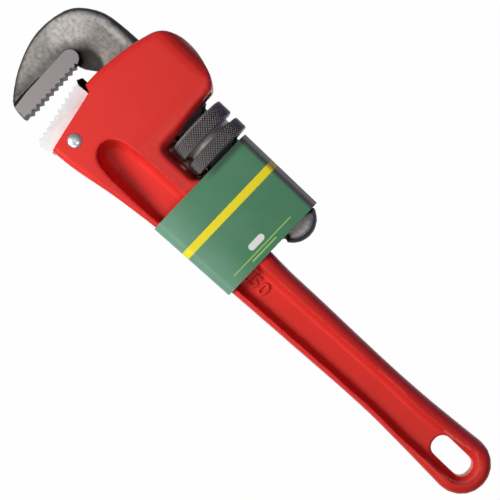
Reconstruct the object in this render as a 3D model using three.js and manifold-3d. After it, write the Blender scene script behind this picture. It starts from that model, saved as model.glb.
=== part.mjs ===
// Straight pipe wrench with a floating hook jaw, lying flat on its housing.
// Millimetres, +Z up. The drawing's own zero is the middle of the adjusting nut, on the shank's axis:
// +X runs along the handle to the hanging slot, +Y towards the back of the shank.
import * as THREE from 'three';
import { mergeVertices } from 'three/addons/utils/BufferGeometryUtils.js';
import Module from 'manifold-3d';

const wasm = await Module();
wasm.setup();

// Fits
const RUN_GAP = 0.35;          // running clearance of the shank, the tongue and the nut
const SEAT_GAP = 0.3;          // clearance between pieces that rest on each other
const THREAD_GAP = 0.3;        // clearance on each thread flank, along the axis

// Shank and thread
const SHANK_RADIUS = 9.3;      // crest of the thread, and half the shank's height
const SHANK_THICKNESS = 12.8;
const SHANK_END = 54;          // from the nut's middle to the round end
const THREAD_START = -17;
const THREAD_PITCH = 4.2;
const THREAD_DEPTH = 1.7;
const THREAD_CREST = 1.35;     // flat width on the crest
const THREAD_ROOT = 1.35;      // flat width at the root

// Adjusting nut
const NUT_RADIUS = 13.4;
const NUT_LENGTH = 14.6;
const NUT_FRONT_RING = 6.6;
const NUT_GROOVE = 2.5;
const NUT_GROOVE_DEPTH = 3.4;
const NUT_CHAMFER = 0.6;

// Housing
const HEAD_THICKNESS = 28.6;
const HEAD_FRONT = -47.5;      // front face, where the hook's shank leaves
const HEAD_BACK_WALL = 7.7;    // over the channel, at its thickest
const NUT_SIDE_GAP = 2.9;      // between the nut and the rim of the housing's rear face
const NUT_POCKET_GAP = 3.2;    // between the nut and the rim of the pocket under it
const MID_SIDE_GAP = 1.15;     // beside the nut in the middle plane, where the pocket is tightest
const MID_FLOOR_GAP = 0.85;    // under the nut in the middle plane
const POCKET_FLARE = 3.2;      // how far the pocket's walls lean out from there to the faces
const ROCK_ROOM = 4.1;         // room behind the shank for its rocking and the spring plate
const LIP_DEPTH = 8.3;         // from the shank's front edge down to the housing's front corner
const BACK_ROUND = 7.5;        // rounding of the housing's back, seen from above
const CAST_ROUND = 2;          // small rounding of the other cast edges

// Handle
const HANDLE_LENGTH = 167.4;   // from the nut's middle to the end
const HANDLE_THICKNESS = 17.6;
const HANDLE_ROUND = 3.2;
const UPPER_ROUND = 5.2;       // rounding of the handle's upper edge
const END_RADIUS = 11.6;
const WEB_THICKNESS = 8;
const RECESS_LEAN = 2.6;       // how far a recess's walls lean out from the web to the housing's face
const SLOT_LENGTH = 18.2;
const SLOT_WIDTH = 8.6;
const SLOT_CORNER = 3.7;
const SLOT_TO_END = 6.9;

// Jaws
const HOOK_REACH = 34.2;       // from the shank's front edge to the hook's tip
const HOOK_FACE = -55.5;       // crests of the hook's teeth
const HOOK_ROUND = 2.7;
const SCOOP_RADIUS = 8.5;      // hollow in the forging round the throat, on each side
const SCOOP_DEPTH = 3;
const PAD_RAISE = 0.35;        // ground pad beside the teeth
const TOOTH_PITCH = 2.66;
const TOOTH_DEPTH = 1;
const HEEL_ANGLE = 11.3;       // degrees between the heel jaw's teeth and the hook's
const HEEL_DEPTH = 7;          // from the tooth crests to the housing
const HEEL_HEIGHT = 27;
const JAW_THICKNESS = 13;
const TONGUE_THICKNESS = 6;
const PIN_RADIUS = 2.9;
const PIN_DOME = 0.7;

// Springs
const COIL_X = -34;
const COIL_RADIUS = 2.9;       // middle of the wire
const COIL_WIRE = 0.9;
const COIL_TURNS = 4;
const COIL_LENGTH = 6.3;
const PLATE_THICKNESS = 0.8;
const PLATE_WIDTH = 10.4;
const PLATE_RISE = 0.6;        // ends of the spring plate above its middle

// Card sleeve
const CARD = 0.5;
const SLEEVE_LENGTH = 38;
const SLEEVE_TO_NUT = 1.8;
const SLEEVE_BACK_GAP = 1;

// Places that follow from the sizes above
const front = -SHANK_RADIUS;                      // front edge of the shank
const back = SHANK_RADIUS;                        // back edge of the shank
const channelRoof = back + ROCK_ROOM;
const headTop = channelRoof + HEAD_BACK_WALL;
const headHalf = HEAD_THICKNESS / 2;
const nutHalf = NUT_LENGTH / 2;
const rearFace = -nutHalf - NUT_SIDE_GAP;
const pocketFloor = -NUT_RADIUS - NUT_POCKET_GAP;
const handleHalf = HANDLE_THICKNESS / 2;
const endX = HANDLE_LENGTH - END_RADIUS;
const sleeveStart = nutHalf + SLEEVE_TO_NUT;
const heelSlope = Math.tan(THREE.MathUtils.degToRad(HEEL_ANGLE));

const CURVE_STEPS = 5;
const FAR = 200;               // well past the part on every side

// ---------- solids ----------

function toSolid(geometry) {
  const bare = geometry.index ? geometry.clone() : geometry;
  bare.deleteAttribute('normal');
  bare.deleteAttribute('uv');
  const merged = mergeVertices(bare, 1e-4);
  const mesh = new wasm.Mesh({
    numProp: 3,
    vertProperties: new Float32Array(merged.attributes.position.array),
    triVerts: new Uint32Array(merged.index.array),
  });
  return new wasm.Manifold(mesh);
}

function toGeometry(solid) {
  const mesh = solid.getMesh();
  const geometry = new THREE.BufferGeometry();
  geometry.setAttribute('position', new THREE.BufferAttribute(mesh.vertProperties, 3));
  geometry.setIndex(new THREE.BufferAttribute(mesh.triVerts, 1));
  const faceted = geometry.toNonIndexed();
  faceted.computeVertexNormals();
  return faceted;
}

// A closed outline from points or from a shape.
function outline(points) {
  return new THREE.Shape(points.map(([x, y]) => new THREE.Vector2(x, y)));
}

// A plate drawn in XY with its faces at z = -half and +half, its edges rounded inside the outline.
function plate(shape, half, round = 0, steps = 3) {
  const geometry = new THREE.ExtrudeGeometry(shape, {
    depth: 2 * (half - round),
    bevelEnabled: round > 0,
    bevelSize: round,
    bevelThickness: round,
    bevelOffset: -round,
    bevelSegments: steps,
    curveSegments: CURVE_STEPS,
  });
  return geometry.translate(0, 0, -(half - round));
}

// A bar with a section drawn in XZ, running along Y.
function barAlongY(points, y0, y1) {
  const geometry = new THREE.ExtrudeGeometry(outline(points), { depth: y1 - y0, bevelEnabled: false });
  return geometry.rotateX(Math.PI / 2).translate(0, y1, 0);
}

// A bar with a section drawn in YZ, running along X.
function barAlongX(shape, x0, x1) {
  const geometry = new THREE.ExtrudeGeometry(shape, {
    depth: x1 - x0, bevelEnabled: false, curveSegments: CURVE_STEPS,
  });
  geometry.rotateY(Math.PI / 2).rotateX(Math.PI / 2);
  return geometry.translate(x0, 0, 0);
}

function box(x0, x1, y0, y1, z0, z1) {
  const geometry = new THREE.BoxGeometry(x1 - x0, y1 - y0, z1 - z0);
  return geometry.translate((x0 + x1) / 2, (y0 + y1) / 2, (z0 + z1) / 2);
}

// A solid through rings of [x, y, z] points, one above the other and counter-clockwise seen from above.
function stack(rings) {
  const width = rings[0].length;
  const contour = rings[0].map(([x, y]) => new THREE.Vector2(x, y));
  const cap = THREE.ShapeUtils.triangulateShape(contour, []);
  const top = (rings.length - 1) * width;
  const triangles = cap.flatMap(([a, b, c]) => [a, c, b, top + a, top + b, top + c]);
  for (let r = 0; r < rings.length - 1; r++) {
    for (let p = 0; p < width; p++) {
      const here = r * width + p;
      const next = r * width + ((p + 1) % width);
      triangles.push(here, next, next + width, here, next + width, here + width);
    }
  }
  const geometry = new THREE.BufferGeometry();
  geometry.setAttribute('position', new THREE.Float32BufferAttribute(rings.flat(2), 3));
  geometry.setIndex(triangles);
  return geometry;
}

// A turned piece about the X axis, from [distance along X, radius] points that start and end on the axis.
function turnedAlongX(profile, segments) {
  const points = profile.map(([x, r]) => new THREE.Vector2(r, x));
  return new THREE.LatheGeometry(points, segments).rotateZ(-Math.PI / 2);
}

function quarterArc(cx, cy, rx, ry, from, to, steps) {
  return Array.from({ length: steps + 1 }, (_, i) => {
    const angle = THREE.MathUtils.degToRad(from + ((to - from) * i) / steps);
    return [cx + rx * Math.cos(angle), cy + ry * Math.sin(angle)];
  });
}

// A threaded rod about the X axis: a ribbon wound on its helix, one pitch wide, whose section is the
// profile of [share of the pitch, radius] points. Its far edge is the next turn's near edge.
function threadedRod(profile, x0, x1, steps) {
  const length = Math.ceil((x1 - x0) / THREAD_PITCH) * steps;
  const width = profile.length;
  const nearEdge = (s, p) => s * width + p;
  const positions = [];
  for (let s = 0; s <= length + steps; s++) {
    for (const [share, radius] of profile) {
      const angle = (2 * Math.PI * s) / steps;
      const x = x0 + THREAD_PITCH * (s / steps + share);
      positions.push(x, radius * Math.cos(angle), radius * Math.sin(angle));
    }
  }
  const vertex = (s, p) => (p < width ? nearEdge(s, p) : nearEdge(s + steps, 0));
  const startPoint = positions.length / 3;
  const endPoint = startPoint + 1;
  positions.push(x0 - THREAD_PITCH, 0, 0, x0 + THREAD_PITCH * (length / steps + 2), 0, 0);
  const triangles = [];
  for (let s = 0; s < length; s++) {
    for (let p = 0; p < width; p++) {
      triangles.push(vertex(s, p), vertex(s + 1, p), vertex(s + 1, p + 1));
      triangles.push(vertex(s, p), vertex(s + 1, p + 1), vertex(s, p + 1));
    }
  }
  for (let s = 0; s < steps; s++) {
    triangles.push(startPoint, vertex(s + 1, 0), vertex(s, 0));
    triangles.push(endPoint, vertex(length - steps + s, width), vertex(length - steps + s + 1, width));
  }
  for (let p = 0; p < width; p++) {
    triangles.push(startPoint, vertex(0, p), vertex(0, p + 1));
    triangles.push(endPoint, vertex(length, p + 1), vertex(length, p));
  }
  const geometry = new THREE.BufferGeometry();
  geometry.setAttribute('position', new THREE.Float32BufferAttribute(positions, 3));
  geometry.setIndex(triangles);
  return geometry;
}

// ---------- thread, shared by the shank and the nut ----------

const THREAD_STEPS = 30;
const flank = (THREAD_PITCH - THREAD_CREST - THREAD_ROOT) / 2;

// The nut's thread is the shank's, moved outwards by the running gap and widened by the gap on each flank.
function threadProfile(gap, flankGap) {
  const crest = (THREAD_CREST / 2 + flankGap) / THREAD_PITCH;
  const foot = (THREAD_CREST / 2 + flank + flankGap) / THREAD_PITCH;
  return [
    [0.5 - foot, SHANK_RADIUS - THREAD_DEPTH + gap],
    [0.5 - crest, SHANK_RADIUS + gap],
    [0.5 + crest, SHANK_RADIUS + gap],
    [0.5 + foot, SHANK_RADIUS - THREAD_DEPTH + gap],
  ];
}

// Both threads start here, so that they stay in step.
const threadFrom = -THREAD_PITCH * (Math.ceil(-THREAD_START / THREAD_PITCH) + 2);

// ---------- casting ----------

// Sections of the handle from the housing to the eye:
// [share of the way to the eye's centre, top edge, bottom edge, web's top edge, web's bottom edge],
// each measured down from the shank's front edge.
const handleSections = [
  [0.06, 2.6, 29.4, 13.3, 27.2],
  [0.3, 5.5, 27.45, 12.7, 25.3],
  [0.5, 5.75, 26, 11.7, 23.9],
  [0.72, 5.5, 24.6, 10.5, 22.7],
  [0.86, 4.5, 25, 10.3, 22.8],
];
const eyeY = front - 14.3;

const sectionX = (share) => share * endX;
const edge = (column) => handleSections.map((row) => new THREE.Vector2(sectionX(row[0]), front - row[column]));

function handleShape() {
  const top = edge(1);
  const bottom = edge(2);
  const root = -1;             // the handle starts inside the neck
  const shape = new THREE.Shape();
  shape.moveTo(root, bottom[0].y - 0.5);
  shape.lineTo(bottom[0].x, bottom[0].y);
  shape.splineThru([...bottom.slice(1), new THREE.Vector2(endX, eyeY - END_RADIUS)]);
  shape.absarc(endX, eyeY, END_RADIUS, -Math.PI / 2, Math.PI / 2, false);
  shape.splineThru(top.toReversed());
  shape.lineTo(nutHalf + 0.4, pocketFloor - 1);
  shape.lineTo(root, pocketFloor - 2.4);
  shape.closePath();
  return shape;
}

// The housing's outline, with the neck that runs into the handle. Where the nut's pocket will be, it
// goes straight across from the handle's top edge to the housing's back corner.
function headShape() {
  const bottom = edge(2);
  const neckEnd = sectionX(0.13);
  const shape = new THREE.Shape();
  shape.moveTo(HEAD_FRONT, front - LIP_DEPTH);
  shape.lineTo(heelTop.x, heelTop.y);
  shape.lineTo(heelFoot.x, heelFoot.y);
  shape.splineThru([
    new THREE.Vector2(heelFoot.x + 11, heelFoot.y + 0.9),
    new THREE.Vector2(rearFace, heelFoot.y + 3.8),
    new THREE.Vector2(bottom[0].x, bottom[0].y),
    new THREE.Vector2(neckEnd, bottom[0].y + 0.7),
  ]);
  shape.lineTo(neckEnd + 8, bottom[0].y + 1);
  shape.lineTo(neckEnd + 8, front - 4);
  shape.lineTo(handleCorner.x, handleCorner.y);
  shape.lineTo(backCorner.x, backCorner.y);
  shape.splineThru([
    new THREE.Vector2(rearFace - 1.6, headTop - 6.4),
    new THREE.Vector2(rearFace - 6, headTop - 3.2),
    new THREE.Vector2(rearFace - 16, headTop - 0.3),
    new THREE.Vector2(rearFace - 24, headTop - 0.5),
    new THREE.Vector2(rearFace - 31, headTop - 4.5),
    new THREE.Vector2(HEAD_FRONT + 3.2, back - 0.4),
    new THREE.Vector2(HEAD_FRONT + 1.2, -1),
  ]);
  shape.lineTo(HEAD_FRONT, front - 1.5);
  shape.closePath();
  return shape;
}

// The handle's upper edge is rounder than the rest. Under the sleeve its rounding grows to the full size.
function upperEdgeShape() {
  const top = edge(1);
  const start = top[0].y + 2;
  const beyond = HANDLE_LENGTH + 20;
  const shape = new THREE.Shape();
  shape.moveTo(-20, -FAR);
  shape.lineTo(beyond, -FAR);
  shape.lineTo(beyond, eyeY + END_RADIUS);
  shape.lineTo(endX, eyeY + END_RADIUS);
  shape.splineThru([...top.slice(1).toReversed(), new THREE.Vector2(top[0].x, start)]);
  shape.lineTo(-20, start);
  shape.closePath();
  return shape;
}

// The nut's pocket lies between these two corners.
const handleCorner = new THREE.Vector2(nutHalf + 2.8, front - 2.3);
const backCorner = new THREE.Vector2(rearFace - 1, back + 2.4);

// The heel jaw sits on this slanted face of the housing.
const heelTop = new THREE.Vector2(HEAD_FRONT + 3.4, front - LIP_DEPTH - 1.15);
const heelFoot = new THREE.Vector2(heelTop.x + (HEEL_HEIGHT - 1.1) * heelSlope, heelTop.y - HEEL_HEIGHT + 1.1);
const pin = new THREE.Vector2(heelTop.x + 8.7, heelTop.y - 17.1);
const tongueTop = front - LIP_DEPTH + 1.1;
const tongueBack = pin.x + 5;

// The housing is flat as far as this, and falls from there in a straight slope to the handle.
const flatEnd = rearFace - 6.2;
const neckSlope = (headHalf - handleHalf) / (nutHalf - flatEnd);

// Half the thickness of the sloping neck.
function neckHalf(x) {
  return headHalf - neckSlope * (x - flatEnd);
}

// The pocket is tight round the nut in the middle plane. Towards both faces its walls lean out in a
// quarter of an ellipse, by the shares that follow each point's x and y.
function nutPocket() {
  const side = -nutHalf - MID_SIDE_GAP;
  const floor = -NUT_RADIUS - MID_FLOOR_GAP;
  const walls = [
    [handleCorner.x, FAR, 0, 0],
    [backCorner.x, FAR, 0, 0],
    [backCorner.x, backCorner.y, 0, 0],
    [backCorner.x + 0.6, back, -0.6, 0],
    [side - 1.15, SHANK_RADIUS * 0.65, -1, 0],
    [side, SHANK_RADIUS * -0.55, -1, 0],
    [side, floor + 2, -1, -0.2],
    [side + 0.2, floor + 0.8, -0.95, -0.5],
    [side + 0.8, floor + 0.2, -0.7, -0.85],
    [side + 2, floor, -0.2, -1],
    [nutHalf - 1.8, floor, 0, -1],
    [nutHalf, floor - 0.05, 0, -0.8],
    [nutHalf + 1.1, floor + 0.7, 0, -0.45],
    [nutHalf + 2, front - 3.3, 0, -0.2],
    [handleCorner.x, handleCorner.y, 0, 0],
  ];
  const steps = 6;
  const rings = [];
  for (let step = -steps; step <= steps; step++) {
    const angle = (step / steps) * (Math.PI / 2);
    const lean = POCKET_FLARE * (1 - Math.cos(angle));
    rings.push(walls.map(([x, y, shareX, shareY]) => {
      const leaning = x + shareX * lean;
      return [leaning, y + shareY * lean, (neckHalf(leaning) + 0.2) * Math.sin(angle)];
    }));
  }
  return toSolid(stack(rings));
}

function headAndNeck() {
  const shape = headShape();
  const flatPart = toSolid(plate(shape, headHalf, CAST_ROUND, 2));
  const sloped = plate(shape, headHalf, CAST_ROUND, 2);
  const position = sloped.attributes.position;
  for (let i = 0; i < position.count; i++) {
    position.setZ(i, (position.getZ(i) * neckHalf(position.getX(i))) / headHalf);
  }
  const before = toSolid(box(-FAR, flatEnd, -FAR, FAR, -FAR, FAR));
  const beyond = toSolid(box(sleeveStart - SEAT_GAP, FAR, -FAR, FAR, -FAR, FAR));
  return flatPart.intersect(before)
    .add(toSolid(sloped).subtract(before).subtract(beyond))
    .intersect(toSolid(barAlongY(creaseProfile(), -FAR, FAR)))
    .subtract(nutPocket());
}

// A shallow roll softens the crease between the flat and the slope. Its first and last facets run on
// clear of both.
function creaseProfile() {
  const reach = 5;
  const roll = [0, 0.25, 0.5, 0.75, 1].map((t) => [
    flatEnd + reach * (2 * t - 1), headHalf - neckSlope * reach * t * t,
  ]);
  const upper = [
    [flatEnd - 45, headHalf + (neckSlope / 8) * (45 - reach)],
    ...roll,
    [flatEnd + 50, roll[4][1] - neckSlope * 0.875 * (50 - reach)],
  ];
  return [...upper, ...upper.toReversed().map(([x, z]) => [x, -z])];
}

// Seen along the shank, the housing's back is rounded from both faces.
function headEndProfile() {
  const flat = headHalf - BACK_ROUND;
  const upper = quarterArc(headTop - BACK_ROUND, flat, BACK_ROUND, BACK_ROUND, 90, 0, 5);
  return [[-FAR, headHalf], ...upper, ...upper.toReversed().map(([y, z]) => [y, -z]), [-FAR, -headHalf]];
}

function channel() {
  const half = SHANK_THICKNESS / 2 + RUN_GAP;
  const floor = front - RUN_GAP;
  const shape = outline([
    [HEAD_FRONT - 1.5, floor - 5.8],
    [HEAD_FRONT + 4, floor],
    [0, floor],
    [0, channelRoof],
    [HEAD_FRONT - 1.5, channelRoof],
  ]);
  return toSolid(plate(shape, half));
}

function springPocket() {
  const depth = COIL_LENGTH + 1.5;
  const pocket = new THREE.CylinderGeometry(COIL_RADIUS + 1.2, COIL_RADIUS + 1.2, depth, 20);
  return toSolid(pocket.translate(COIL_X, coilFoot + COIL_LENGTH + SEAT_GAP - depth / 2, 0));
}

function heelSlot() {
  const half = TONGUE_THICKNESS / 2 + RUN_GAP;
  return toSolid(box(HEAD_FRONT - 5, tongueBack + RUN_GAP, -FAR, tongueTop + RUN_GAP, -half, half));
}

function pinHole() {
  const radius = PIN_RADIUS + SEAT_GAP;
  return toSolid(new THREE.CylinderGeometry(radius, radius, FAR, 28).rotateX(Math.PI / 2).translate(pin.x, pin.y, 0));
}

// A web recess is a tray with a round end in the housing. Its walls lean outwards and stand ever
// steeper towards the rim.
function webRecess(side) {
  const left = rearFace - 14.5;
  const nose = new THREE.Vector2(left + 5.2, front - 20.6);  // middle of the tray's round end
  const topLine = edge(3).map((point) => new THREE.Vector2(point.x, point.y - RECESS_LEAN * 0.75));
  const bottomLine = edge(4).map((point) => new THREE.Vector2(point.x, point.y + RECESS_LEAN * 0.85));
  const endReach = END_RADIUS - 6.8;
  const endRise = END_RADIUS - 6.5;
  const shape = new THREE.Shape();
  shape.absellipse(nose.x, nose.y, nose.x - left, 3.7, Math.PI / 2, 1.5 * Math.PI, false, 0);
  shape.splineThru([
    new THREE.Vector2(nose.x + 4, nose.y - 4.1),
    ...bottomLine,
    new THREE.Vector2(endX, eyeY - 0.3 - endRise),
  ]);
  shape.absellipse(endX, eyeY - 0.3, endReach, endRise, -Math.PI / 2, Math.PI / 2, false, 0);
  shape.splineThru([
    ...topLine.toReversed(),
    new THREE.Vector2(nose.x + 11, nose.y + 4.9),
    new THREE.Vector2(nose.x + 4, nose.y + 4.3),
  ]);
  shape.closePath();
  const onSide = shape.getPoints(CURVE_STEPS).map((point) => [point.x, side * point.y]);
  const geometry = new THREE.ExtrudeGeometry(outline(onSide), {
    depth: FAR,
    bevelEnabled: true,
    bevelSize: RECESS_LEAN,
    bevelThickness: headHalf - WEB_THICKNESS / 2,
    bevelSegments: 4,
    curveSegments: CURVE_STEPS,
  });
  geometry.translate(0, 0, headHalf);
  return toSolid(side > 0 ? geometry : geometry.rotateX(Math.PI));
}

function hangingSlot() {
  const right = HANDLE_LENGTH - SLOT_TO_END;
  const left = right - SLOT_LENGTH;
  const low = eyeY - 0.2 - SLOT_WIDTH / 2;
  const high = low + SLOT_WIDTH;
  const r = SLOT_CORNER;
  const shape = new THREE.Shape();
  shape.moveTo(left + r, low);
  shape.lineTo(right - r, low);
  shape.absarc(right - r, low + r, r, -Math.PI / 2, 0, false);
  shape.absarc(right - r, high - r, r, 0, Math.PI / 2, false);
  shape.absarc(left + r, high - r, r, Math.PI / 2, Math.PI, false);
  shape.absarc(left + r, low + r, r, Math.PI, 1.5 * Math.PI, false);
  return toSolid(plate(shape, FAR));
}

function wrenchBody() {
  const head = headAndNeck().intersect(toSolid(barAlongX(outline(headEndProfile()), -FAR, FAR)));
  const handle = toSolid(plate(handleShape(), handleHalf, HANDLE_ROUND, 3))
    .intersect(toSolid(plate(upperEdgeShape(), handleHalf, UPPER_ROUND, 4)));
  return head.add(handle)
    .subtract(channel())
    .subtract(springPocket())
    .subtract(heelSlot())
    .subtract(pinHole())
    .subtract(webRecess(1))
    .subtract(webRecess(-1))
    .subtract(hangingSlot())
    .simplify(0.006);
}

// ---------- jaws ----------

// A row of teeth along a line from (x0, y0) to (x1, y1), as [x, y] points: gullet, crest, gullet ...
// Crests stand TOOTH_DEPTH to the given side of the line through the gullets.
function toothLine(x0, y0, x1, y1, side) {
  const length = Math.hypot(x1 - x0, y1 - y0);
  const count = Math.round(length / TOOTH_PITCH);
  const ux = (x1 - x0) / length;
  const uy = (y1 - y0) / length;
  const step = length / count;
  const lean = 0.42;           // a tooth's crest lies nearer its upper gullet
  const points = [[x0, y0]];
  for (let i = 0; i < count; i++) {
    const crest = (i + lean) * step;
    points.push([x0 + ux * crest + side * uy * TOOTH_DEPTH, y0 + uy * crest - side * ux * TOOTH_DEPTH]);
    points.push([x0 + ux * (i + 1) * step, y0 + uy * (i + 1) * step]);
  }
  return points;
}

const hookTip = front - HOOK_REACH;
const hookTeethTop = front - 5.3;
const hookTeethFoot = hookTip + 2.1;

// The hook's outline, with its toothed side left uncut.
function hookShape() {
  const shape = new THREE.Shape();
  const outer = HOOK_FACE - 20.2;                        // the hook's outermost point
  const down = (share) => back - share * (back - hookTip);
  shape.moveTo(HEAD_FRONT + 14, back - 0.4);
  shape.lineTo(HEAD_FRONT + 6, back - 0.4);
  shape.splineThru([
    new THREE.Vector2(HEAD_FRONT - 3.9, back - 0.6),
    new THREE.Vector2(HOOK_FACE - 5.9, back - 1.8),
    new THREE.Vector2(HOOK_FACE - 13.3, down(0.108)),
    new THREE.Vector2(HOOK_FACE - 17.9, down(0.208)),
    new THREE.Vector2(outer + 0.05, down(0.386)),
    new THREE.Vector2(outer + 0.6, down(0.561)),
    new THREE.Vector2(outer + 4.4, down(0.761)),
    new THREE.Vector2(outer + 9.2, down(0.909)),
    new THREE.Vector2(outer + 12.3, hookTip + 1.5),
    new THREE.Vector2(outer + 15.6, hookTip + 0.35),
    new THREE.Vector2(HOOK_FACE - 0.6, hookTip),
  ]);
  shape.lineTo(HOOK_FACE + 8, hookTip);
  shape.lineTo(HOOK_FACE + 8, front - 7);
  shape.lineTo(HOOK_FACE + 1.6, front - 4.7);
  shape.quadraticCurveTo(HOOK_FACE + 4.6, front - 3, HOOK_FACE + 7, front - 0.9);
  shape.quadraticCurveTo(HOOK_FACE + 8.6, front + 0.1, HEAD_FRONT + 4, front + 0.2);
  shape.lineTo(HEAD_FRONT + 14, front + 0.2);
  shape.closePath();
  return shape;
}

// Everything in front of the hook's teeth.
function hookTeethCutter() {
  const teeth = toothLine(HOOK_FACE - TOOTH_DEPTH - 0.2, hookTeethTop, HOOK_FACE - TOOTH_DEPTH + 0.2, hookTeethFoot, -1);
  const shape = outline([
    [HOOK_FACE + 12, front - 5.5],
    [HOOK_FACE + 2.2, front - 4.5],
    [HOOK_FACE - 0.6, front - 5.1],
    ...teeth,
    [HOOK_FACE - 0.2, hookTip - 2],
    [HOOK_FACE + 12, hookTip - 2],
  ]);
  return toSolid(plate(shape, FAR));
}

// The ground pad on each side of the teeth has a round top.
function hookPad() {
  const left = HOOK_FACE - 7.4;
  const radius = 3.7;
  const shape = new THREE.Shape();
  shape.moveTo(left + 1.3, hookTip + 0.8);
  shape.lineTo(HOOK_FACE + 3, hookTip + 0.1);
  shape.lineTo(HOOK_FACE + 3, hookTeethTop + 0.4);
  shape.lineTo(left + 2 * radius, hookTeethTop + 0.4);
  shape.absarc(left + radius, front - 5.2, radius, 0, Math.PI, false);
  shape.lineTo(left + 0.5, hookTip + 8);
  shape.closePath();
  return toSolid(plate(shape, SHANK_THICKNESS / 2 + PAD_RAISE, 0.3, 1));
}

// The forging is hollowed on both sides round the throat.
function throatScoop() {
  const steps = 3;
  const bowl = Array.from({ length: steps + 1 }, (_, i) => {
    const share = i / steps;
    return new THREE.Vector2(SCOOP_RADIUS * share, -SCOOP_DEPTH * (1 - share * share));
  });
  const profile = [...bowl, new THREE.Vector2(SCOOP_RADIUS + 1, SCOOP_DEPTH), new THREE.Vector2(0, SCOOP_DEPTH)];
  const upper = new THREE.LatheGeometry(profile, 22).rotateX(Math.PI / 2).translate(0, 0, SHANK_THICKNESS / 2);
  const lower = upper.clone().rotateX(Math.PI);
  const both = toSolid(upper).add(toSolid(lower));
  return both.translate([HOOK_FACE + 3.2, front - 3.6, 0]);
}

function hookJaw() {
  const thickness = SHANK_THICKNESS / 2;
  const hook = toSolid(plate(hookShape(), thickness, HOOK_ROUND, 3));
  const slab = toSolid(box(-FAR, FAR, -FAR, FAR, -thickness, thickness));
  const plain = toSolid(turnedAlongX([
    [HEAD_FRONT + 4, 0],
    [HEAD_FRONT + 4, SHANK_RADIUS - 0.25],
    [THREAD_START, SHANK_RADIUS - 0.25],
    [THREAD_START + 1.5, SHANK_RADIUS - THREAD_DEPTH],
    [THREAD_START + 3, 0],
  ], THREAD_STEPS * 2));
  const rod = toSolid(threadedRod(threadProfile(0, 0), threadFrom, SHANK_END + THREAD_PITCH, THREAD_STEPS));
  const roundEnd = quarterArc(SHANK_END - SHANK_RADIUS - 0.1, 0, SHANK_RADIUS + 0.1, SHANK_RADIUS + 0.1, 90, 0, 7);
  const bullet = toSolid(turnedAlongX([[THREAD_START, 0], [THREAD_START, SHANK_RADIUS + 0.1], ...roundEnd], 48));
  const shank = rod.intersect(bullet).add(plain).intersect(slab);
  return hook.subtract(throatScoop()).add(hookPad()).subtract(hookTeethCutter()).add(shank);
}

// The heel jaw: a toothed block on the housing's slanted face, with a tongue in the housing's slot.
function heelJaw() {
  const gap = SEAT_GAP / Math.cos(Math.atan(heelSlope));
  const blockTop = heelTop.y - 0.35;
  const depth = HEEL_DEPTH / Math.cos(Math.atan(heelSlope));
  const onFace = (y) => heelTop.x + (heelTop.y - y) * heelSlope - gap;
  const foot = heelTop.y - HEEL_HEIGHT;
  const teeth = toothLine(
    onFace(blockTop - 1.4) - depth + TOOTH_DEPTH, blockTop - 1.4,
    onFace(foot) - depth + TOOTH_DEPTH, foot - 0.4, 1,
  );
  const block = toSolid(plate(outline([
    [onFace(blockTop), blockTop],
    [onFace(blockTop) - depth - 0.1, blockTop - 0.9],
    ...teeth,
    [onFace(foot) - depth + TOOTH_DEPTH + 0.2, foot - 1.1],
    [onFace(foot), foot + 0.35],
  ]), JAW_THICKNESS / 2));
  const tongue = toSolid(plate(outline([
    [onFace(blockTop) - 3, blockTop - 2],
    [heelTop.x - 8, blockTop + 0.3],
    [heelTop.x - 7.2, blockTop + 1.9],
    [heelTop.x - 6.8, tongueTop],
    [tongueBack, tongueTop],
    [tongueBack, foot + 2.6],
    [onFace(foot) - 2, foot + 0.9],
  ]), TONGUE_THICKNESS / 2));
  return block.add(tongue).subtract(pinHole());
}

function heelPin() {
  const top = headHalf;
  const bottom = -headHalf + 0.2;
  const dome = quarterArc(0, top - 0.3, PIN_RADIUS, PIN_DOME + 0.3, 0, 90, 5);
  const points = [[0, bottom], [PIN_RADIUS - 0.4, bottom], [PIN_RADIUS, bottom + 0.4], ...dome.slice(0, -1), [0, top + PIN_DOME]];
  const profile = points.map(([r, z]) => new THREE.Vector2(r, z));
  return new THREE.LatheGeometry(profile, 28).rotateX(Math.PI / 2).translate(pin.x, pin.y, 0);
}

// ---------- nut ----------

function adjustingNut() {
  const r = NUT_RADIUS;
  const c = NUT_CHAMFER;
  const grooveStart = -nutHalf + NUT_FRONT_RING;
  const grooveEnd = grooveStart + NUT_GROOVE;
  const floor = r - NUT_GROOVE_DEPTH;
  const blank = toSolid(turnedAlongX([
    [-nutHalf, 0],
    [-nutHalf, r - c],
    [-nutHalf + c, r],
    [grooveStart - c, r],
    [grooveStart, r - c],
    [grooveStart, floor + c],
    [grooveStart + c, floor],
    [grooveEnd - c, floor],
    [grooveEnd, floor + c],
    [grooveEnd, r - c],
    [grooveEnd + c, r],
    [nutHalf - c, r],
    [nutHalf, r - c],
    [nutHalf, 0],
  ], 60));
  const bore = toSolid(threadedRod(
    threadProfile(RUN_GAP, THREAD_GAP), threadFrom, nutHalf + 2 * THREAD_PITCH, THREAD_STEPS,
  ));
  return blank.subtract(bore);
}

// ---------- springs ----------

const plateLow = back + SEAT_GAP;                        // underside of the plate at its middle
const plateStart = HEAD_FRONT + 6.5;
const plateEnd = rearFace - 4.8;
const coilFoot = plateLow + PLATE_THICKNESS + SEAT_GAP + 0.35;

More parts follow.
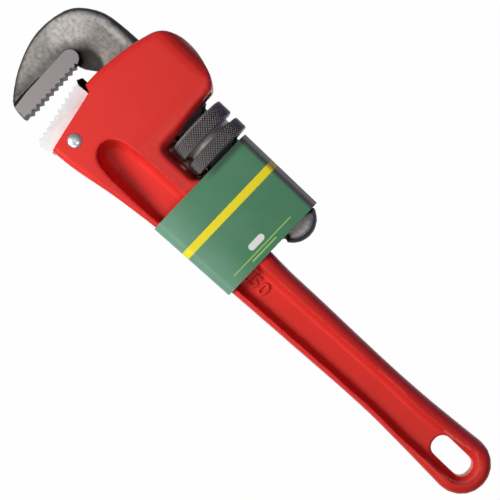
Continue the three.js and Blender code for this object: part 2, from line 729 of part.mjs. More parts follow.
function springPlate() {
  const middle = (plateStart + plateEnd) / 2;
  const high = plateLow + PLATE_RISE;
  const shape = new THREE.Shape();
  shape.moveTo(plateStart, high);
  shape.quadraticCurveTo(middle, plateLow - PLATE_RISE, plateEnd, high);
  shape.lineTo(plateEnd, high + PLATE_THICKNESS);
  shape.quadraticCurveTo(middle, plateLow - PLATE_RISE + PLATE_THICKNESS, plateStart, high + PLATE_THICKNESS);
  shape.closePath();
  const hole = new THREE.CylinderGeometry(1.3, 1.3, FAR, 16).translate(COIL_X, 0, 0);
  return toSolid(plate(shape, PLATE_WIDTH / 2)).subtract(toSolid(hole));
}

function springRivet() {
  const under = plateLow + 0.15;
  const seat = plateLow + PLATE_THICKNESS + SEAT_GAP;
  const points = [[0, under], [1, under], [1, seat], [1.9, seat], [1.9, seat + 0.5], [1.2, seat + 0.9], [0, seat + 0.9]];
  const profile = points.map(([r, y]) => new THREE.Vector2(r, y));
  return new THREE.LatheGeometry(profile, 16).translate(COIL_X, 0, 0);
}

class Helix extends THREE.Curve {
  getPoint(t) {
    const angle = 2 * Math.PI * COIL_TURNS * t;
    const climb = COIL_LENGTH - COIL_WIRE;
    return new THREE.Vector3(
      COIL_X + COIL_RADIUS * Math.cos(angle),
      coilFoot + COIL_WIRE / 2 + climb * t,
      COIL_RADIUS * Math.sin(angle),
    );
  }
}

function coilSpring() {
  const wire = new THREE.Shape();
  wire.absarc(0, 0, COIL_WIRE / 2, 0, 2 * Math.PI, false);
  return new THREE.ExtrudeGeometry(wire, {
    steps: 10 * COIL_TURNS, extrudePath: new Helix(), bevelEnabled: false, curveSegments: 4,
  });
}

// ---------- card sleeve ----------

// Half of the band's section, as [y, z] points from the handle's side to the shank's side.
function sleeveSection(inset) {
  const z = handleHalf + SEAT_GAP + CARD - inset;
  const low = sleeveLow + inset;
  const round = HANDLE_ROUND + SEAT_GAP + CARD - inset;
  const high = back + SLEEVE_BACK_GAP + CARD - inset;
  const bend = quarterArc(low + round, z - round, round, round, 180, 90, 4);
  return [...bend, [back - 1.9, z], [back - 0.4, z - 1], [high, 3.8]];
}

const sleeveLow = edge(2)[0].y - SEAT_GAP - CARD;

function cardSleeve() {
  const closed = (points) => [...points.map(([y, z]) => [y, -z]), ...points.toReversed()];
  const shape = outline(closed(sleeveSection(0)));
  shape.holes.push(outline(closed(sleeveSection(CARD))));
  const geometry = barAlongX(shape, sleeveStart, sleeveStart + SLEEVE_LENGTH);
  const taper = 1.35;          // the handle's side climbs this much along the band
  const position = geometry.attributes.position;
  for (let i = 0; i < position.count; i++) {
    const along = (position.getX(i) - sleeveStart) / SLEEVE_LENGTH;
    const share = (back - position.getY(i)) / (back - sleeveLow);
    position.setY(i, position.getY(i) + taper * along * share);
  }
  return geometry;
}

// ---------- assembly ----------

const castRed = { color: 0xd83c36, roughness: 0.25, metalness: 0 };
const forged = { color: 0x6c6866, roughness: 0.5, metalness: 0.8 };
const blackened = { color: 0x3a393b, roughness: 0.55, metalness: 0.6 };
const groundSteel = { color: 0xd8d8da, roughness: 0.35, metalness: 0.7 };
const brightSteel = { color: 0xe6e6e6, roughness: 0.2, metalness: 1 };
const springSteel = { color: 0x505258, roughness: 0.4, metalness: 0.9 };
const greenCard = { color: 0x487d5c, roughness: 0.7, metalness: 0 };

const tool = new THREE.Group();

function addPart(name, shape, finish) {
  const geometry = shape instanceof THREE.BufferGeometry ? shape : toGeometry(shape);
  const mesh = new THREE.Mesh(geometry, new THREE.MeshStandardMaterial(finish));
  mesh.name = name;
  tool.add(mesh);
}

addPart('wrench_body', wrenchBody(), castRed);
addPart('hook_jaw', hookJaw(), forged);
addPart('adjusting_nut', adjustingNut(), blackened);
addPart('heel_jaw', heelJaw(), groundSteel);
addPart('heel_jaw_pin', heelPin(), brightSteel);
addPart('flat_spring', springPlate(), springSteel);
addPart('spring_rivet', springRivet(), brightSteel);
addPart('coil_spring', coilSpring(), springSteel);
addPart('card_sleeve', cardSleeve(), greenCard);

// The part's origin is the middle of its footprint, on the surface that it lies on.
const bounds = new THREE.Box3().setFromObject(tool);
const middle = bounds.getCenter(new THREE.Vector3());
tool.position.set(-middle.x, -middle.y, -bounds.min.z);

const part = new THREE.Group();
part.add(tool);

export default part;
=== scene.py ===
"""The finished pieces of a straight pipe wrench, built round its working parts, with a stage to show it on.

Sizes in the panel are lengths in the scene. Places on the tool are given in millimetres from the middle of
the adjusting nut, on the shank's axis: X runs towards the hanging slot, Y towards the back of the shank.
"""

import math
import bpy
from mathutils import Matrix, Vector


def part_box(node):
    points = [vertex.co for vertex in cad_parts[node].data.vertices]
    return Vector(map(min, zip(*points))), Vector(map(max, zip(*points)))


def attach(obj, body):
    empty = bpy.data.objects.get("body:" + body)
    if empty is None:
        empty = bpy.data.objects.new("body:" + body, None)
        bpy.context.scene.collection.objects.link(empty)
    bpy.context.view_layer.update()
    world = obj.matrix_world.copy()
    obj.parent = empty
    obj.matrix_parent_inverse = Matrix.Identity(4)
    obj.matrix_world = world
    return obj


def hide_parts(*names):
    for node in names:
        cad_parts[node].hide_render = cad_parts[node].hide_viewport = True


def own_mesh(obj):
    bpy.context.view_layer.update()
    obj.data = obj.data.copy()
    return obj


bl_info = {
    "name": "Pipe Wrench Finish",
    "version": (1, 0, 0),
    "blender": (4, 5, 0),
    "location": "3D Viewport > Sidebar > Wrench",
    "description": "Builds the finished pieces of a straight pipe wrench and the stage it lies on",
    "category": "Object",
}

import bmesh
import bpy
from mathutils import Vector

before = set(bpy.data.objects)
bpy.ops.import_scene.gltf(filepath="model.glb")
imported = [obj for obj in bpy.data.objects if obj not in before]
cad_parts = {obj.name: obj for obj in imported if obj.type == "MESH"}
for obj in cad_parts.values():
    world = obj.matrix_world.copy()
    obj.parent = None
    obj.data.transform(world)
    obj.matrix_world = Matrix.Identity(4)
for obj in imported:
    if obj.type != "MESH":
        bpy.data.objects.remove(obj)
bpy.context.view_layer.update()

MM = 0.001
NEAR = 0.001 * MM                 # points nearer than this are one
FULL_TURN = 2 * math.pi


def middle(node):
    """The centre of a working part's box."""
    low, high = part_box(node)
    return (low + high) / 2


NUT = middle("adjusting_nut")


def at(x, y, z=0.0):
    """A point in the frame, from millimetres measured from the middle of the nut."""
    return NUT + Vector((x, y, z)) * MM


# ---------------------------------------------------------------- settings


def size(name, description, millimetres):
    return bpy.props.FloatProperty(
        name=name, description=description, default=millimetres * MM,
        min=0.0, precision=5, subtype="DISTANCE", unit="LENGTH",
    )


def colour(name, description, red, green, blue):
    return bpy.props.FloatVectorProperty(
        name=name, description=description, default=(red / 255, green / 255, blue / 255),
        min=0.0, max=1.0, size=3, subtype="COLOR_GAMMA",
    )


class WrenchSizes(bpy.types.PropertyGroup):
    """Sizes of the finish, which the working parts leave open."""

    cast_grain: size("Casting grain", "Spacing of the casting's surface mesh", 0.575)
    cast_wave: size("Casting wave", "Height of the slow waves that sand leaves in the casting", 0.09)
    forge_grain: size("Forging grain", "Spacing of the forging's surface mesh", 0.38)
    forge_scale: size("Forging scale", "Height of the scale pits in the forging", 0.16)
    number_height: size("Number height", "Height of the cast size number", 5.2)
    number_relief: size("Number relief", "How far the cast size number stands proud", 0.85)
    knurl_depth: size("Knurl depth", "Depth of the knurl's grooves", 0.5)
    knurl_pitch: size("Knurl pitch", "Spacing of the knurl's diamonds", 1.28)
    card: size("Card thickness", "Thickness of the sleeve's card", 0.5)
    edge: size("Edge break", "Rounding of the ground edges", 0.12)
    wire: size("Spring wire", "Diameter of the coil spring's wire", 0.9)


class WrenchColours(bpy.types.PropertyGroup):
    """Colours of the finishes, as they look in plain light; some of them are painted highlights and shade.
    """

    enamel: colour("Enamel", "Red enamel of the casting", 229, 53, 46)
    forging: colour("Forging", "Forged steel of the hook jaw", 168, 164, 159)
    # Painted highlight: the lighter forging on the knuckle and the bend's ridge, and on the shank's end.
    painted_highlight: colour("Rubbed forging", "Patches that handling has rubbed lighter", 212, 208, 203)
    scale: colour("Scale", "Scale that mottles the forging", 128, 125, 121)
    # Painted shade: the dark of the hook's bowl, rim, tip and thread, and beside its pad.
    forging_shade: colour("Hollows", "Dark scale in hollows and round the forging's edges", 42, 41, 41)
    ground: colour("Ground steel", "Ground face beside the hook's teeth", 152, 147, 148)
    # Painted shade: near black for the teeth's flanks and the heel jaw's tongue.
    shade_black: colour("Tooth flanks", "Hardened flanks of the hook's teeth", 18, 18, 18)
    heel: colour("Heel jaw", "Bright steel of the heel jaw", 224, 229, 230)
    oxide: colour("Black oxide", "Oxidised steel of the nut", 94, 91, 91)
    tips: colour("Worn tips", "Tips of the knurl, worn bright", 178, 174, 172)
    bright: colour("Bright steel", "Polished steel of the pin and the rivet", 226, 226, 228)
    spring: colour("Spring steel", "Blued steel of the springs", 92, 94, 102)
    card: colour("Card", "Green print of the sleeve", 71, 132, 93)
    board: colour("Board", "Bare board inside the sleeve", 196, 190, 178)
    # Painted sheen: the lighter, greyer green towards the handle's side.
    painted_sheen: colour("Faded card", "The print where it is lighter, towards the handle's side", 122, 168, 146)
    # Painted shade: the grey band along the card's back edge, where it turns away.
    band: colour("Back band", "Grey band along the card's back edge", 104, 98, 88)
    stripe: colour("Stripe", "Yellow stripe of the sleeve", 250, 232, 20)
    rule: colour("Rules", "Thin light rules of the sleeve", 168, 216, 116)


# ---------------------------------------------------------------- modelling helpers

SUNK_SHARE = 0.85                 # share of a rough surface's relief that sinks, to stay in the part's box


def deselect():
    if bpy.context.mode != "OBJECT":
        bpy.ops.object.mode_set(mode="OBJECT")
    bpy.ops.object.select_all(action="DESELECT")


def activate(piece):
    deselect()
    piece.select_set(True)
    bpy.context.view_layer.objects.active = piece


def add_to_scene(name, data):
    thing = bpy.data.objects.new(name, data)
    bpy.context.scene.collection.objects.link(thing)
    return thing


def settle(piece):
    """Puts a piece's place into its mesh."""
    activate(piece)
    bpy.ops.object.transform_apply(location=True, rotation=True, scale=True)


def name_new(name):
    """Names the primitive that was just added, and puts its place into its mesh."""
    piece = bpy.context.view_layer.objects.active
    piece.name = name
    piece.data.name = name
    settle(piece)
    return piece


def add_box(name, low, high):
    deselect()
    bpy.ops.mesh.primitive_cube_add(size=1, location=(low + high) / 2, scale=high - low)
    return name_new(name)


def add_turned_box(name, low, high, corner, degrees):
    """A box measured in millimetres from a corner, and turned about that corner's Z axis."""
    piece = add_box(name, Vector(low) * MM, Vector(high) * MM)
    piece.location = at(*corner)
    piece.rotation_euler = (0, 0, math.radians(degrees))
    settle(piece)
    return piece


def add_rod(name, radius, start, end, vertices):
    """A cylinder between two points that lie along one axis, its radius in millimetres."""
    deselect()
    span = end - start
    bpy.ops.mesh.primitive_cylinder_add(
        vertices=vertices, radius=radius * MM, depth=span.length,
        location=(start + end) / 2, rotation=span.to_track_quat("Z", "Y").to_euler(),
    )
    return name_new(name)


def modify(piece, kind, **settings):
    """Adds a modifier with these settings and applies it."""
    activate(piece)
    bpy.ops.object.modifier_add(type=kind)
    modifier = piece.modifiers[-1]
    for name, value in settings.items():
        setattr(modifier, name, value)
    bpy.ops.object.modifier_apply(modifier=modifier.name)


def combine(piece, operation, other):
    """A boolean of two pieces, which uses up the other one."""
    modify(piece, "BOOLEAN", operation=operation, object=other, solver="EXACT")
    bpy.data.objects.remove(other)


def edit(piece):
    activate(piece)
    bpy.ops.object.mode_set(mode="EDIT")


def merge_near(distance=NEAR):
    """In edit mode, selects everything and merges its near points."""
    bpy.ops.mesh.select_all(action="SELECT")
    bpy.ops.mesh.remove_doubles(threshold=distance)


def copy_of(node, name):
    """A new piece with a working part's shape, its corners merged."""
    piece = add_to_scene(name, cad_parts[node].data.copy())
    piece.data.name = name
    piece.data.materials.clear()
    activate(piece)
    bpy.ops.mesh.customdata_custom_splitnormals_clear()
    edit(piece)
    merge_near()
    bpy.ops.object.mode_set(mode="OBJECT")
    return piece


def select_where(piece, kind, test):
    """In edit mode, selects the vertices, edges or faces that pass the test, and nothing else."""
    bpy.ops.mesh.select_mode(type=kind)
    bpy.ops.mesh.select_all(action="DESELECT")
    mesh = bmesh.from_edit_mesh(piece.data)
    for part in {"VERT": mesh.verts, "EDGE": mesh.edges, "FACE": mesh.faces}[kind]:
        if test(part):
            part.select_set(True)
    mesh.select_flush_mode()
    bmesh.update_edit_mesh(piece.data)


def edge_middle(part):
    return (part.verts[0].co + part.verts[1].co) / 2


def runs_along(part, axis):
    """Whether an edge runs along X (0), Y (1) or Z (2)."""
    span = part.verts[1].co - part.verts[0].co
    return abs(span[axis]) > 0.99 * span.length


def close_outward():
    """In edit mode, closes every hole, merges near points and turns the faces outwards."""
    bpy.ops.mesh.select_all(action="SELECT")
    bpy.ops.mesh.fill_holes(sides=0)
    merge_near()
    bpy.ops.mesh.normals_make_consistent(inside=False)


def bevel(size, segments):
    """In edit mode, rounds the selected edges."""
    bpy.ops.mesh.bevel(offset=size, segments=segments, affect="EDGES")


def break_edges(piece, width):
    """Bevels the sharp edges of a ground piece."""
    modify(piece, "BEVEL", width=width, segments=2, limit_method="ANGLE", angle_limit=math.radians(28))


def smooth(piece, degrees=None):
    """Shades a piece smooth, with edges sharper than these degrees left crisp."""
    activate(piece)
    if degrees is None:
        bpy.ops.object.shade_smooth()
    else:
        bpy.ops.object.shade_smooth_by_angle(angle=math.radians(degrees))


def roughen(piece, height, scale, depth=1):
    """Sinks the surface by soft noise whose lumps are about scale across, and raises hardly any of it."""
    texture = bpy.data.textures.new(piece.name + "_relief", "CLOUDS")
    texture.noise_scale = scale
    texture.noise_depth = depth
    modify(
        piece, "DISPLACE", texture=texture, texture_coords="GLOBAL", strength=height, mid_level=SUNK_SHARE,
    )


def finish_piece(piece, body, slot, materials, *nodes):
    """Gives a piece its materials and its body, and hides the working parts it stands for. The slot is not
    used.
    """
    piece.data.materials.clear()
    for material in materials:
        piece.data.materials.append(material)
    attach(piece, body)
    if nodes:
        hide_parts(*nodes)
    deselect()


def refinish(node, material):
    """Gives a working part that stays in view its finish."""
    for holder in node.material_slots:
        holder.material = material


# ---------------------------------------------------------------- materials

WHITE = (1.0, 1.0, 1.0, 1.0)

# Second shades of some finishes, as they look in plain light, and the shade painted where the nut shadows
# the card.
GROUND_MARKS = (0.5, 0.48, 0.49)
HEEL_CLOUDS = (0.78, 0.77, 0.78)
NUT_SHADOW = (0.12, 0.14, 0.13)
BARE_CARD = (0.93, 0.94, 0.92)
BOARD_FIBRES = (0.66, 0.62, 0.56)


class Value:
    """What a shader works out at each point of a surface, for use in plain arithmetic."""

    def __init__(self, finish, socket):
        self.finish = finish
        self.socket = socket

    def _maths(self, operation, first, second):
        return self.finish.node("ShaderNodeMath", {"operation": operation}, {0: first, 1: second})

    def __add__(self, other):
        return self._maths("ADD", self, other)

    def __radd__(self, other):
        return self._maths("ADD", other, self)

    def __sub__(self, other):
        return self._maths("SUBTRACT", self, other)

    def __rsub__(self, other):
        return self._maths("SUBTRACT", other, self)

    def __mul__(self, other):
        return self._maths("MULTIPLY", self, other)

    def __rmul__(self, other):
        return self._maths("MULTIPLY", other, self)

    def __truediv__(self, other):
        return self._maths("DIVIDE", self, other)

    def __rtruediv__(self, other):
        return self._maths("DIVIDE", other, self)

    def __or__(self, other):
        """The larger of two."""
        return self._maths("MAXIMUM", self, other)

    def __and__(self, other):
        """The smaller of two."""
        return self._maths("MINIMUM", self, other)

    def __abs__(self):
        return self._maths("ABSOLUTE", self, 0.0)


def linear(shade):
    """A displayed colour as the light that it stands for."""
    def channel(value):
        return value / 12.92 if value <= 0.04045 else ((value + 0.055) / 1.055) ** 2.4
    return (*(channel(value) for value in shade), 1.0)


def darker(light, share):
    """A colour of light with this share of it left."""
    return tuple(share * channel for channel in light[:3]) + (1.0,)


class Finish:
    """A material made of nodes."""

    def __init__(self, name):
        self.material = bpy.data.materials.new(name)
        self.material.use_nodes = True
        self.tree = self.material.node_tree
        self.tree.nodes.clear()

    def node(self, kind, settings=None, sockets=None, output=0):
        """Adds a node, with its settings first and then the values or links of its sockets."""
        made = self.tree.nodes.new(kind)
        for name, value in (settings or {}).items():
            setattr(made, name, value)
        for name, value in (sockets or {}).items():
            if isinstance(value, Value):
                self.tree.links.new(value.socket, made.inputs[name])
            else:
                made.inputs[name].default_value = value
        return Value(self, made.outputs[output]) if made.outputs else None

    def place(self):
        """Place on the tool, in metres in the frame."""
        return self.node("ShaderNodeTexCoord", output="Object")

    def vector(self, operation, sockets):
        return self.node("ShaderNodeVectorMath", {"operation": operation}, sockets)

    def axes(self):
        """Place from the middle of the nut, in millimetres, as three numbers."""
        from_nut = self.vector("SUBTRACT", {0: self.place(), 1: NUT})
        scaled = self.vector("SCALE", {0: from_nut, "Scale": 1 / MM})
        split = self.node("ShaderNodeSeparateXYZ", None, {0: scaled}, output="X")
        outputs = split.socket.node.outputs
        return split, Value(self, outputs["Y"]), Value(self, outputs["Z"])

    def noise(self, grain, detail, stretch=(1, 1, 1), roughness=0.55):
        """Noise from 0 to 1 whose lumps are about grain millimetres across."""
        scaled = self.vector("MULTIPLY", {0: self.place(), 1: stretch})
        return self.node("ShaderNodeTexNoise", None, {
            "Vector": scaled, "Scale": 1 / (grain * MM), "Detail": detail, "Roughness": roughness,
        })

    def rise(self, value, start, end, low=0.0, high=1.0):
        """Goes smoothly from low to high as the value goes from start to end."""
        return self.node("ShaderNodeMapRange", {"interpolation_type": "SMOOTHSTEP"}, {
            "Value": value, "From Min": start, "From Max": end, "To Min": low, "To Max": high,
        })

    def length(self, first, second):
        """Length of a line with these two runs at right angles."""
        return self.node("ShaderNodeMath", {"operation": "SQRT"}, {0: first * first + second * second})

    def spread(self, value, low=0.0, high=1.0):
        """Goes from low to high over the middle of a noise's range."""
        return self.rise(value, 0.3, 0.7, low, high)

    def band(self, value, low, high, soft):
        """1 where the value is between low and high, with soft edges."""
        return self.rise(value, low - soft, low + soft) * self.rise(value, high - soft, high + soft, 1, 0)

    def mix(self, share, first, second):
        """A colour between two."""
        return self.node("ShaderNodeMix", {"data_type": "RGBA"}, {0: share, 6: first, 7: second}, output=2)

    def bump(self, height, depth, strength):
        """Normals of a relief that is depth millimetres high."""
        return self.node("ShaderNodeBump", None, {
            "Height": height, "Distance": depth * MM, "Strength": strength,
        })

    def surface(self, **sockets):
        """The material with a plain surface shader, its sockets named with underscores for spaces."""
        named = {name.replace("_", " "): value for name, value in sockets.items()}
        return self.with_shader(self.node("ShaderNodeBsdfPrincipled", None, named))

    def with_shader(self, shader):
        self.node("ShaderNodeOutputMaterial", None, {"Surface": shader})
        return self.material


def enamel(colours):
    """Satin red enamel over a sand casting: faint orange peel and slow patches of deeper red."""
    finish = Finish("red_enamel")
    red = linear(colours.enamel)
    patches = finish.noise(14, 2)
    peel = finish.noise(0.8, 2)
    pits = finish.noise(2.6, 3)
    return finish.surface(
        Base_Color=finish.mix(finish.rise(patches, 0.35, 0.75, 0.0, 0.1), red, darker(red, 0.72)),
        Roughness=finish.spread(pits, 0.3, 0.36),
        Normal=finish.bump(peel * 0.6 + pits * 1.3, 0.04, 0.5),
        IOR=1.27,
    )


def forging(colours):
    """Forged steel with grey-brown scale, mottled, with painted highlights on its knuckle and bend and
    painted shade in its hollows and round its edges.
    """
    finish = Finish("forged_steel")
    along, across, height = finish.axes()
    mottle = finish.noise(1.5, 5, roughness=0.65)
    grain = finish.noise(0.7, 2)
    patches = finish.noise(5, 3)
    scaled = finish.rise(mottle * 0.7 + grain * 0.3, 0.3, 0.68)
    face = finish.mix(scaled, linear(colours.scale), linear(colours.forging))
    # Painted highlights on the knuckle and the ridge of the bend, and a lighter shank end.
    painted_highlight = painted_highlight_places(finish, along, across, patches) * finish.rise(mottle, 0.3, 0.62, 0.4, 1.0)
    face = finish.mix(painted_highlight, face, linear(colours.painted_highlight))
    # Painted shade in the bowl, round the rim, beside the pad, towards the tip, on the thread and where the
    # edges fall away from the face.
    light = light_places(finish, along, across, patches) * finish.rise(abs(height) + mottle * 0.5, 5.1, 6.25)
    return finish.surface(
        Base_Color=finish.mix(light, linear(colours.forging_shade), face),
        Roughness=finish.spread(grain, 0.5, 0.62),
        Metallic=0.3,
        Specular_IOR_Level=0.2,
        Normal=finish.bump(mottle + grain * 0.5, 0.12, 0.6),
    )


def round_the_bend(finish, along, across, length, width):
    """1 on an ellipse about the hook's outer bend, and more outside it; straight on past its middle."""
    aside = (along - HOOK_BEND[0]) & 0.0
    upward = (across - HOOK_BEND[1]) | 0.0
    return finish.length(aside / length, upward / width)


def painted_highlight_places(finish, along, across, patches):
    """Where highlights are painted on the forging: its knuckle and the ridge of its bend; its shank's end is
    painted lighter too.
    """
    from_knuckle = finish.length(along - KNUCKLE[0], (across - KNUCKLE[1]) * 0.85)
    knuckle = finish.rise(from_knuckle + patches * 6.0, 7.0, 14.0, 0.85, 0.0)
    on_ridge = round_the_bend(finish, along, across, 15.2, 16.3) + wobble(patches)
    ridge = finish.band(on_ridge, 0.93, 1.06, 0.04) * finish.rise(across, -16.0, -6.0)
    ridge = ridge * finish.rise(along, -50.0, -44.0, 0.8, 0.0)
    return knuckle | ridge | finish.rise(along, *SHANK_END, 0.0, 0.45)


def light_places(finish, along, across, patches):
    """0 where shade is painted on the forging: in its bowl, round its rim, beside its pad, towards its tip
    and on its thread.
    """
    on_rim = round_the_bend(finish, along, across, 17.2, 18.2) + wobble(patches)
    rim = finish.rise(on_rim, 0.97, 1.05, 1.0, 0.2)
    from_bowl = finish.length(along - BOWL[0], across - BOWL[1])
    bowl = finish.rise(from_bowl + patches * 2.0, 3.5, 11.5)
    beside_pad = finish.rise(along, -68.0, -63.6, 1.0, 0.5) | finish.rise(across, -14.0, -9.0)
    tip = finish.rise(across, -40.0, -24.0, 0.5, 1.0)
    thread = finish.rise(along, -14.0, -12.0, 1.0, 0.15) | finish.rise(along, *SHANK_END)
    return bowl * rim * beside_pad * tip * thread


def wobble(patches):
    """Makes the edge of a mask uneven."""
    return patches * 0.08 - 0.04


def ground_face(colours):
    """Ground steel with fine marks across the jaw, and painted shade that makes the teeth's flanks near
    black.
    """
    finish = Finish("ground_steel_face")
    marks = finish.noise(0.5, 3, stretch=(0.12, 1.6, 1))
    ground = finish.mix(finish.spread(marks, 0.0, 0.15), linear(colours.ground), linear(GROUND_MARKS))
    # Painted shade: below the ground face the teeth's flanks are coloured near black.
    on_face = finish.rise(abs(finish.axes()[2]), PAD_FACE - 0.3, PAD_FACE - 0.12)
    return finish.surface(
        Base_Color=finish.mix(on_face, linear(colours.shade_black), ground),
        Roughness=finish.spread(marks, 0.45, 0.55),
        Metallic=1 - on_face * 0.75,
        Specular_IOR_Level=0.2,
        Normal=finish.bump(marks, 0.03, 0.6),
    )


def heel_steel(colours):
    """Bright ground steel, with painted light that makes it whiter towards its seat, and painted shade that
    makes the tongue above the teeth black.
    """
    finish = Finish("ground_steel_heel")
    along, across, _ = finish.axes()
    marks = finish.noise(0.45, 3, stretch=(1.6, 0.12, 1))
    cloud = finish.noise(4, 2)
    # Painted shade: the tongue above the teeth is coloured black.
    black = finish.rise(across, HEEL_TOP - 0.35, HEEL_TOP - 0.2)
    seat = HEEL_CORNER[0] - (across - HEEL_CORNER[1]) * math.tan(math.radians(HEEL_TURN))
    # Painted light: whiter towards the seat, where the head shades the jaw.
    ground = finish.mix(finish.rise(seat - along, 0.0, 5.0), WHITE, linear(colours.heel))
    bright = finish.mix(finish.rise(cloud, 0.35, 0.7, 0.0, 0.15), ground, linear(HEEL_CLOUDS))
    return finish.surface(
        Base_Color=finish.mix(black, bright, linear(colours.shade_black)),
        Roughness=finish.spread(marks, 0.5, 0.6),
        Metallic=black * 0.9 + 0.1,
        Specular_IOR_Level=0.3,
        Normal=finish.bump(marks, 0.02, 0.5),
    )


def oxide(colours):
    """Black oxide with bare steel on the knurl's tips, the front edge and the turned groove."""
    finish = Finish("black_oxide")
    wear = finish.noise(1.6, 4)
    along, across, height = finish.axes()
    radius = finish.length(across, height)
    tips = finish.rise(radius + wear * 0.1, NUT_RADIUS - 0.32, NUT_RADIUS - 0.06)
    outer = finish.rise(radius, NUT_RADIUS - 1.4, NUT_RADIUS - 1.0)
    front_edge = finish.band(along, -7.4, -6.5, 0.25) * outer * 0.6
    turned = finish.rise(radius, 10.6, 11.4, 0.7, 0.0) * finish.band(along, -3.0, 3.0, 0.5)
    return finish.surface(
        Base_Color=finish.mix(tips | front_edge | turned, linear(colours.oxide), linear(colours.tips)),
        Roughness=finish.spread(wear, 0.48, 0.34),
        Metallic=0.35,
        Normal=finish.bump(wear, 0.03, 0.4),
    )


def bright_steel(colours):
    return steel("bright_steel", linear(colours.bright), 0.24, 2.4)


def spring_steel(colours):
    return steel("spring_steel", linear(colours.spring), 0.34, 0.8)


def steel(name, shade, roughness, grain):
    """Plain bright or blued steel with faint tool marks."""
    finish = Finish(name)
    marks = finish.noise(grain, 3)
    return finish.surface(
        Base_Color=finish.mix(finish.rise(marks, 0.4, 0.8, 0.0, 0.5), shade, darker(shade, 0.7)),
        Roughness=finish.spread(marks, roughness, roughness + 0.12),
        Metallic=0.7,
        Normal=finish.bump(marks, 0.02, 0.25),
    )


def printed_card(colours):
    """Coated green card: yellow stripe, bare white patch and light rules, with a painted sheen towards the
    handle's side, painted shade on the grey band along its back and a painted shadow of the nut.
    """
    finish = Finish("printed_card")
    along, across, height = finish.axes()
    fibre = finish.noise(0.35, 3)
    cloud = finish.noise(18, 2)
    # Painted sheen: lighter, greyer green towards the handle's side; the cloud adds slow random tone.
    painted_sheen = finish.rise(across, -38.0, -20.0, 0.6, 0.0) + finish.spread(cloud, 0.0, 0.15)
    ink = finish.mix(painted_sheen, linear(colours.card), linear(colours.painted_sheen))
    # Painted shade: the grey band where the card turns away along its back, which dims the stripe there too.
    back_shade = finish.rise(across, BAND - PRINT_EDGE, BAND + PRINT_EDGE)
    ink = finish.mix(back_shade * 0.85, ink, linear(colours.band))
    stripe = finish.band(along, *STRIPE, 0.12) * (1 - back_shade * 0.15)
    ink = finish.mix(stripe, ink, linear(colours.stripe))
    top = finish.rise(height, SLEEVE_HALF - 0.6, SLEEVE_HALF - 0.4)
    ink = finish.mix(thin_rules(finish, along, across) * top * 0.85, ink, linear(colours.rule))
    # Painted shadow of the nut on the card's front edge.
    by_nut = finish.rise(along, 10.3, 12.8, 0.6, 0.0) * finish.rise(across, -13.0, -6.0)
    ink = finish.mix(by_nut, ink, linear(NUT_SHADOW))
    ink = finish.mix(bare_patch(finish, along, across) * top, ink, linear(BARE_CARD))
    return finish.surface(
        Base_Color=ink,
        Roughness=finish.spread(fibre, 0.42, 0.52),
        Normal=finish.bump(fibre + cloud * 3.0, 0.04, 0.35),
    )


def thin_rules(finish, along, across):
    rules = 0.0
    for start, low, high, width in RULES:
        rules = finish.band(along, start, start + width, 0.12) * finish.band(across, low, high, 0.2) + rules
    return rules


def bare_patch(finish, along, across):
    """1 inside a patch with straight sides and round ends."""
    past_end = (abs(across - PATCH[1]) - PATCH[3]) | 0.0
    reach = finish.length(along - PATCH[0], past_end)
    return finish.rise(reach, PATCH[2] - PRINT_EDGE, PATCH[2] + PRINT_EDGE, 1.0, 0.0)


def bare_board(colours):
    """Unprinted grey-brown board, inside the sleeve and on its cut edges."""
    finish = Finish("bare_board")
    fibre = finish.noise(0.5, 4)
    return finish.surface(
        Base_Color=finish.mix(finish.spread(fibre), linear(colours.board), linear(BOARD_FIBRES)),
        Roughness=finish.spread(fibre, 0.75, 0.9),
        Normal=finish.bump(fibre, 0.04, 0.4),
    )


# ---------------------------------------------------------------- places on the tool

HEAD_FRONT = -47.5
HEAD_HALF = 14.3                  # half of the head's thickness
CAST_ROUND = 2.0                  # rounding of the head's front edges
HEEL_CORNER = (-44.1, -18.75)     # where the heel jaw's seat meets the lip above it
HEEL_FOOT = -44.65                # lower end of the heel jaw's seat
HEEL_TOP = -19.1                  # top of the heel jaw's toothed block
HEEL_TURN = 11.3                  # degrees between the seat and the Y axis
LIP_TURN = -18.7                  # degrees between the lip and the X axis
SLOT_BACK = -30.05                # the slot for the heel jaw's tongue ends here along and across
SLOT_TOP = -16.15
SLOT_HALF = 3.35                  # half of the slot's width
PIN = (-35.4, -35.85)
PIN_BORE = 2.94                   # radius of the pin's hole

NUT_RADIUS = 13.4
NUT_ROOM = (13.85, -8.5, 7.45)    # radius, front and rear of the room round the nut
SHANK_ROOM = (9.7, -13.0, 12.0)   # the same of the room round the shank
CRADLE_LOW = (-11.8, -18.0, -8.85)     # the pocket's floor under the nut
CRADLE_HIGH = (9.6, -9.0, -3.4)
CRADLE_DROP = 4.0                 # how much thicker the floor is towards the head

HOOK_FACE = -55.5                 # crests of the hook's teeth
HOOK_BEND = (-57.0, -12.0)        # centre of the hook's outer bend
KNUCKLE = (-68.5, -6.0)           # the part of the bend where a highlight is painted
BOWL = (-55.0, -11.5)             # middle of the hook's inner bowl
SHANK_END = (46.0, 47.0)          # the thread ends between these
PAD_FACE = 6.75                   # height of the ground pad above the middle plane
PAD_WIDTH = 7.4
PAD_ROUND = 3.7                   # radius of the pad's round top
PAD_TOP = -14.5 + PAD_ROUND

